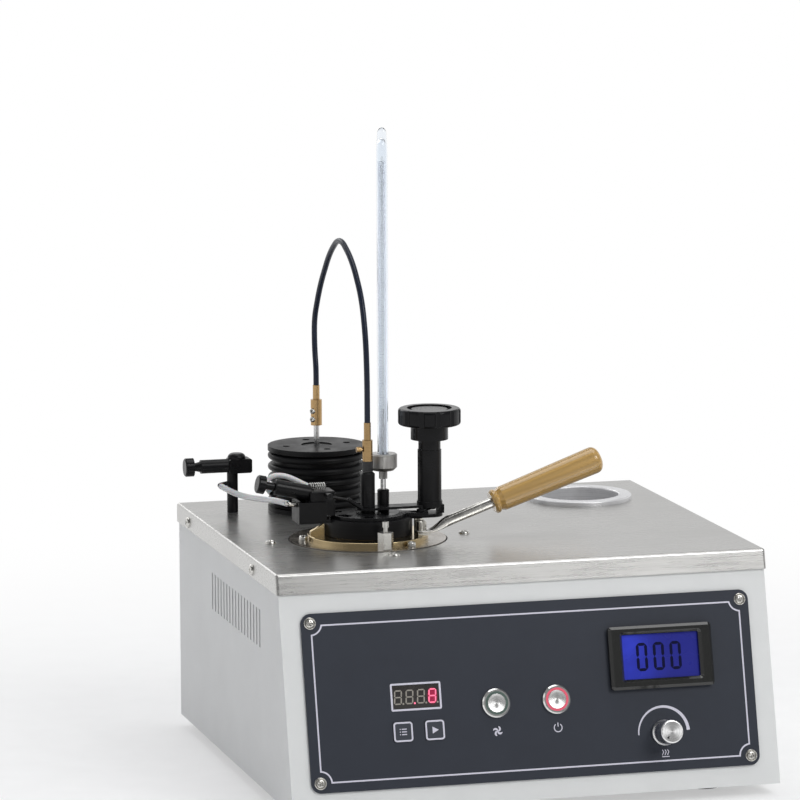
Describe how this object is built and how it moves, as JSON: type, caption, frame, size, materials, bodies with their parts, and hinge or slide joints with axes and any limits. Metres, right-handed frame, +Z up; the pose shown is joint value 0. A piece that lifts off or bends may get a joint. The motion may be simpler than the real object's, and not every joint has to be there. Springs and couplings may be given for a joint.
{
  "type": "flash point tester",
  "caption": "Bench closed-cup flash point tester: sloping control panel, brass cup with shutter lid, finned stirrer motor, flexible drive shaft, gas valve and cooling well.",
  "frame": {"origin": "on the bench under the middle of the tester", "axes": "+X to the right seen from the control panel, +Y to the back, +Z up"},
  "size_m": [0.3329, 0.326, 0.4234],
  "materials": {
    "white_paint": "satin",
    "stainless": "brushed",
    "foot_rubber": "matte",
    "steel": "machined",
    "black_plastic": "matte",
    "panel_paint": "satin",
    "display_plastic": "glossy",
    "key_plastic": "matte",
    "board_green": "satin",
    "nickel": "polished",
    "meter_black": "glossy",
    "meter_blue": "glossy",
    "spun_aluminium": "spun",
    "casting": "cast",
    "polished_steel": "polished",
    "black_anodised": "satin",
    "brass": "machined",
    "wood": "varnished",
    "glass": "clear",
    "silicone": "translucent",
    "flex_sheath": "satin",
    "knob_black": "glossy"
  },
  "bodies": {
    "case": {"case_shell": "white_paint", "top_plate": "stainless", "rear_panel": "white_paint", "feet": "foot_rubber", "case_screws": "steel", "power_inlet": "black_plastic", "control_panel": "panel_paint", "panel_screws": "nickel", "led_display": "display_plastic", "button_bezels": "nickel", "meter_bezel": "meter_black", "meter_lcd": "meter_blue", "potentiometer": "steel", "control_board": "board_green", "stove_shell": "casting", "heater_plate": "polished_steel", "disc_screws": "nickel", "locating_post": "nickel", "cooling_ring": "spun_aluminium", "fan_frame": "black_plastic", "motor_housing": "black_anodised", "valve_post": "black_anodised", "post_valve_body": "black_anodised", "post_nipple": "brass", "gas_hose": "silicone"},
    "cup": {"cup": "brass", "handle_bracket": "nickel", "clamp_screw": "nickel", "handle_tube": "nickel", "wooden_grip": "wood"},
    "lid": {"lid_cover": "black_anodised", "shutter_tower": "black_anodised", "burner_stand": "black_anodised", "lid_valve_body": "black_anodised", "return_spring": "steel", "gas_inlet_elbow": "brass", "lid_hose": "silicone", "stirrer_column": "black_anodised", "flexible_shaft": "flex_sheath", "thermometer_holder": "black_anodised"},
    "shutter": {"shutter": "polished_steel"},
    "opening_knob": {"shutter_knob": "knob_black"},
    "lid_valve_knob": {"lid_valve_knob": "knob_black"},
    "flame_tube": {"flame_tube": "steel"},
    "stirrer": {"stirrer_shaft": "steel", "stirrer_coupling": "brass", "stirrer_collar": "black_anodised"},
    "thermometer": {"thermometer": "glass", "thermometer_ferrule": "nickel", "thermometer_stem": "steel"},
    "drive_coupling": {"motor_coupling": "brass", "coupling_screws": "nickel"},
    "motor_rotor": {"motor_shaft": "steel"},
    "post_valve_knob": {"post_valve_knob": "knob_black"},
    "heat_knob": {"heat_knob": "spun_aluminium"},
    "fan_button": {"fan_button_cap": "spun_aluminium"},
    "power_button": {"power_button_cap": "spun_aluminium"},
    "left_key": {"key_left": "key_plastic"},
    "right_key": {"key_right": "key_plastic"},
    "fan_rotor": {"fan_rotor": "black_plastic"}
  },
  "joints": [
    {"name": "cup_lift", "type": "slide", "parent": "case", "child": "cup", "axis": [0, 0, 1], "range_m": [0, 0.065]},
    {"name": "lid_lift", "type": "slide", "parent": "cup", "child": "lid", "axis": [0, 0, 1], "range_m": [0, 0.075]},
    {"name": "opening_knob_turn", "type": "hinge", "parent": "lid", "child": "opening_knob", "pos_m": [-0.0314, -0.0076, 0.2], "axis": [0, 0, -1], "range_deg": [0, 90], "stiffness_Nm_per_rad": 0.02, "springref_deg": -22.92},
    {"name": "shutter_swing", "type": "hinge", "parent": "lid", "child": "shutter", "pos_m": [-0.0734, -0.0076, 0.1715], "axis": [0, 0, 1], "range_deg": [0, 28.4]},
    {"name": "flame_dip", "type": "hinge", "parent": "lid", "child": "flame_tube", "pos_m": [-0.1034, -0.0246, 0.1868], "axis": [0, 1, 0], "range_deg": [0, 15]},
    {"name": "stirrer_spin", "type": "hinge", "parent": "lid", "child": "stirrer", "pos_m": [-0.0734, -0.0076, 0.155], "axis": [0, 0, 1], "continuous": true},
    {"name": "drive_spin", "type": "hinge", "parent": "lid", "child": "drive_coupling", "pos_m": [-0.0771, 0.1112, 0.221], "axis": [0, 0, 1], "continuous": true},
    {"name": "thermometer_lift", "type": "slide", "parent": "lid", "child": "thermometer", "axis": [0, 0, 1], "range_m": [0, 0.09]},
    {"name": "lid_valve_turn", "type": "hinge", "parent": "lid", "child": "lid_valve_knob", "pos_m": [-0.13612, -0.0076, 0.19211], "axis": [-0.9759, 0, 0.2181], "range_deg": [0, 270]},
    {"name": "motor_spin", "type": "hinge", "parent": "case", "child": "motor_rotor", "pos_m": [-0.0771, 0.1112, 0.2], "axis": [0, 0, 1], "continuous": true},
    {"name": "post_valve_turn", "type": "hinge", "parent": "case", "child": "post_valve_knob", "pos_m": [-0.15, 0.114, 0.1869], "axis": [-1, 0, 0], "range_deg": [0, 270]},
    {"name": "heat_knob_turn", "type": "hinge", "parent": "case", "child": "heat_knob", "pos_m": [0.085, -0.14438, 0.04432], "axis": [0, 0.9687, -0.2484], "range_deg": [0, 270]},
    {"name": "fan_button_press", "type": "slide", "parent": "case", "child": "fan_button", "axis": [0, 0.9687, -0.2484], "range_m": [0, 0.0015], "stiffness_N_per_m": 400, "springref_m": -0.001},
    {"name": "power_button_press", "type": "slide", "parent": "case", "child": "power_button", "axis": [0, 0.9687, -0.2484], "range_m": [0, 0.0015], "stiffness_N_per_m": 400, "springref_m": -0.001},
    {"name": "left_key_press", "type": "slide", "parent": "case", "child": "left_key", "axis": [0, 0.9687, -0.2484], "range_m": [0, 0.0004], "stiffness_N_per_m": 800, "springref_m": -0.0005},
    {"name": "right_key_press", "type": "slide", "parent": "case", "child": "right_key", "axis": [0, 0.9687, -0.2484], "range_m": [0, 0.0004], "stiffness_N_per_m": 800, "springref_m": -0.0005},
    {"name": "fan_spin", "type": "hinge", "parent": "case", "child": "fan_rotor", "pos_m": [0.1054, 0.1022, 0.11], "axis": [0, 0, 1], "continuous": true}
  ],
  "couplings": [
    {"joint": "shutter_swing", "follows": "opening_knob_turn", "ratio": 0.31555},
    {"joint": "flame_dip", "follows": "opening_knob_turn", "ratio": 0.16666},
    {"joint": "stirrer_spin", "follows": "motor_spin", "ratio": -1},
    {"joint": "drive_spin", "follows": "motor_spin", "ratio": 1}
  ]
}
